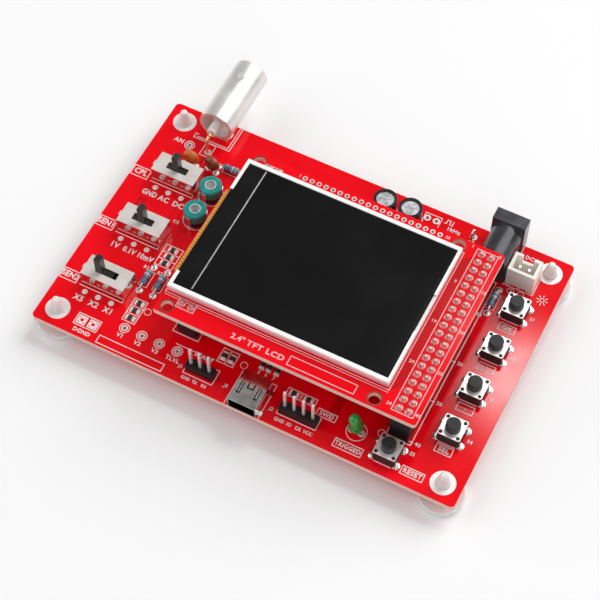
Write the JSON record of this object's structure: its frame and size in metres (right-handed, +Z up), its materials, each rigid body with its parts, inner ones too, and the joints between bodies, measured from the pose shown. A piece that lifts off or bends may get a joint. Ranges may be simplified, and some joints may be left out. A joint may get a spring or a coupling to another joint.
{
  "type": "open-board bench oscilloscope",
  "caption": "Open-frame kit oscilloscope: red main board on push-in feet, plug-in colour display, bayonet signal input, slide switches, push keys and trimmers.",
  "frame": {"origin": "centre of the whole object's bounding box in X and Y, on the table under the feet", "axes": "+X along the board's length towards the push keys, +Y towards the signal input at the back edge, +Z up"},
  "size_m": [0.119, 0.0914, 0.0218],
  "materials": {
    "red_laminate": "gloss solder mask over glass-fibre laminate",
    "foot_nylon": "natural moulded nylon",
    "nickel_plate": "satin nickel plate",
    "insulator_plastic": "satin",
    "gold_contact": "gold plate",
    "tinned_steel": "bright tin plate",
    "phenolic": "pressed phenolic",
    "lever_plastic": "satin moulded",
    "key_plastic": "satin moulded",
    "trimmer_ceramic": "painted ceramic",
    "backlight_plastic": "satin moulded",
    "display_glass": "polished, dark polariser",
    "flex_film": "polyimide film over copper",
    "foam_tape": "matte",
    "header_plastic": "satin moulded",
    "jack_plastic": "semi-gloss moulded",
    "socket_nylon": "natural moulded nylon",
    "lamp_epoxy": "tinted diffuse epoxy",
    "can_aluminium": "satin",
    "can_sleeve": "shrunk film",
    "dipped_ceramic": "dipped coating",
    "resistor_lacquer": "baked lacquer",
    "chip_epoxy": "moulded epoxy",
    "choke_lacquer": "baked lacquer"
  },
  "bodies": {
    "main_unit": {"main_board": "red_laminate", "board_feet": "foot_nylon", "input_barrel": "nickel_plate", "input_insulator": "insulator_plastic", "input_contact": "gold_contact", "input_ground_pins": "tinned_steel", "switch_bases": "phenolic", "switch_covers": "tinned_steel", "switch_terminals": "tinned_steel", "key_bases": "key_plastic", "key_covers": "tinned_steel", "key_domes": "tinned_steel", "key_terminals": "tinned_steel", "trimmer_bodies": "trimmer_ceramic", "trimmer_terminals": "tinned_steel", "display_socket": "header_plastic", "display_socket_contacts": "gold_contact", "support_sockets": "header_plastic", "dc_jack_housing": "jack_plastic", "dc_jack_centre_pin": "tinned_steel", "dc_jack_terminals": "tinned_steel", "battery_socket_housing": "socket_nylon", "battery_socket_pins": "tinned_steel", "usb_shell": "nickel_plate", "usb_tongue": "header_plastic", "pin_header_bases": "header_plastic", "pin_header_pins": "gold_contact", "trigger_lamp": "lamp_epoxy", "electrolytic_cans": "can_aluminium", "electrolytic_sleeves": "can_sleeve", "ceramic_capacitors": "dipped_ceramic", "resistors": "resistor_lacquer", "component_leads": "tinned_steel", "microcontroller": "chip_epoxy", "amplifier_chips": "chip_epoxy", "regulators": "chip_epoxy", "crystal": "nickel_plate", "inductors": "choke_lacquer", "test_loop": "tinned_steel"},
    "coupling_slider": {"coupling_lever": "lever_plastic", "coupling_wiper": "gold_contact"},
    "range_slider": {"range_lever": "lever_plastic", "range_wiper": "gold_contact"},
    "multiplier_slider": {"multiplier_lever": "lever_plastic", "multiplier_wiper": "gold_contact"},
    "ok_key": {"ok_button": "key_plastic"},
    "plus_key": {"plus_button": "key_plastic"},
    "minus_key": {"minus_button": "key_plastic"},
    "select_key": {"select_button": "key_plastic"},
    "reset_key": {"reset_button": "key_plastic"},
    "rear_trimmer": {"rear_trimmer_rotor": "nickel_plate"},
    "front_trimmer": {"front_trimmer_rotor": "nickel_plate"},
    "display_module": {"lcd_board": "red_laminate", "lcd_backlight_frame": "backlight_plastic", "lcd_glass": "display_glass", "lcd_flex": "flex_film", "lcd_adhesive": "foam_tape", "display_header_spacer": "header_plastic", "display_header_pins": "gold_contact", "support_header_spacers": "header_plastic"}
  },
  "joints": [
    {"name": "coupling_slide", "type": "slide", "parent": "main_unit", "child": "coupling_slider", "axis": [1, 0, 0], "range_m": [-0.002, 0.002]},
    {"name": "range_slide", "type": "slide", "parent": "main_unit", "child": "range_slider", "axis": [1, 0, 0], "range_m": [-0.002, 0.002]},
    {"name": "multiplier_slide", "type": "slide", "parent": "main_unit", "child": "multiplier_slider", "axis": [1, 0, 0], "range_m": [0, 0.004]},
    {"name": "ok_press", "type": "slide", "parent": "main_unit", "child": "ok_key", "axis": [0, 0, -1], "range_m": [0, 0.00025], "stiffness_N_per_m": 1500, "springref_m": -0.0005},
    {"name": "plus_press", "type": "slide", "parent": "main_unit", "child": "plus_key", "axis": [0, 0, -1], "range_m": [0, 0.00025], "stiffness_N_per_m": 1500, "springref_m": -0.0005},
    {"name": "minus_press", "type": "slide", "parent": "main_unit", "child": "minus_key", "axis": [0, 0, -1], "range_m": [0, 0.00025], "stiffness_N_per_m": 1500, "springref_m": -0.0005},
    {"name": "select_press", "type": "slide", "parent": "main_unit", "child": "select_key", "axis": [0, 0, -1], "range_m": [0, 0.00025], "stiffness_N_per_m": 1500, "springref_m": -0.0005},
    {"name": "reset_press", "type": "slide", "parent": "main_unit", "child": "reset_key", "axis": [0, 0, -1], "range_m": [0, 0.00025], "stiffness_N_per_m": 1500, "springref_m": -0.0005},
    {"name": "rear_trimmer_turn", "type": "hinge", "parent": "main_unit", "child": "rear_trimmer", "pos_m": [-0.03545, 0.00833, 0.011], "axis": [0, 0, 1], "continuous": true},
    {"name": "front_trimmer_turn", "type": "hinge", "parent": "main_unit", "child": "front_trimmer", "pos_m": [-0.03545, -0.00013, 0.011], "axis": [0, 0, 1], "continuous": true},
    {"name": "display_unplug", "type": "slide", "parent": "main_unit", "child": "display_module", "axis": [0, 0, 1], "range_m": [0, 0.012]}
  ]
}
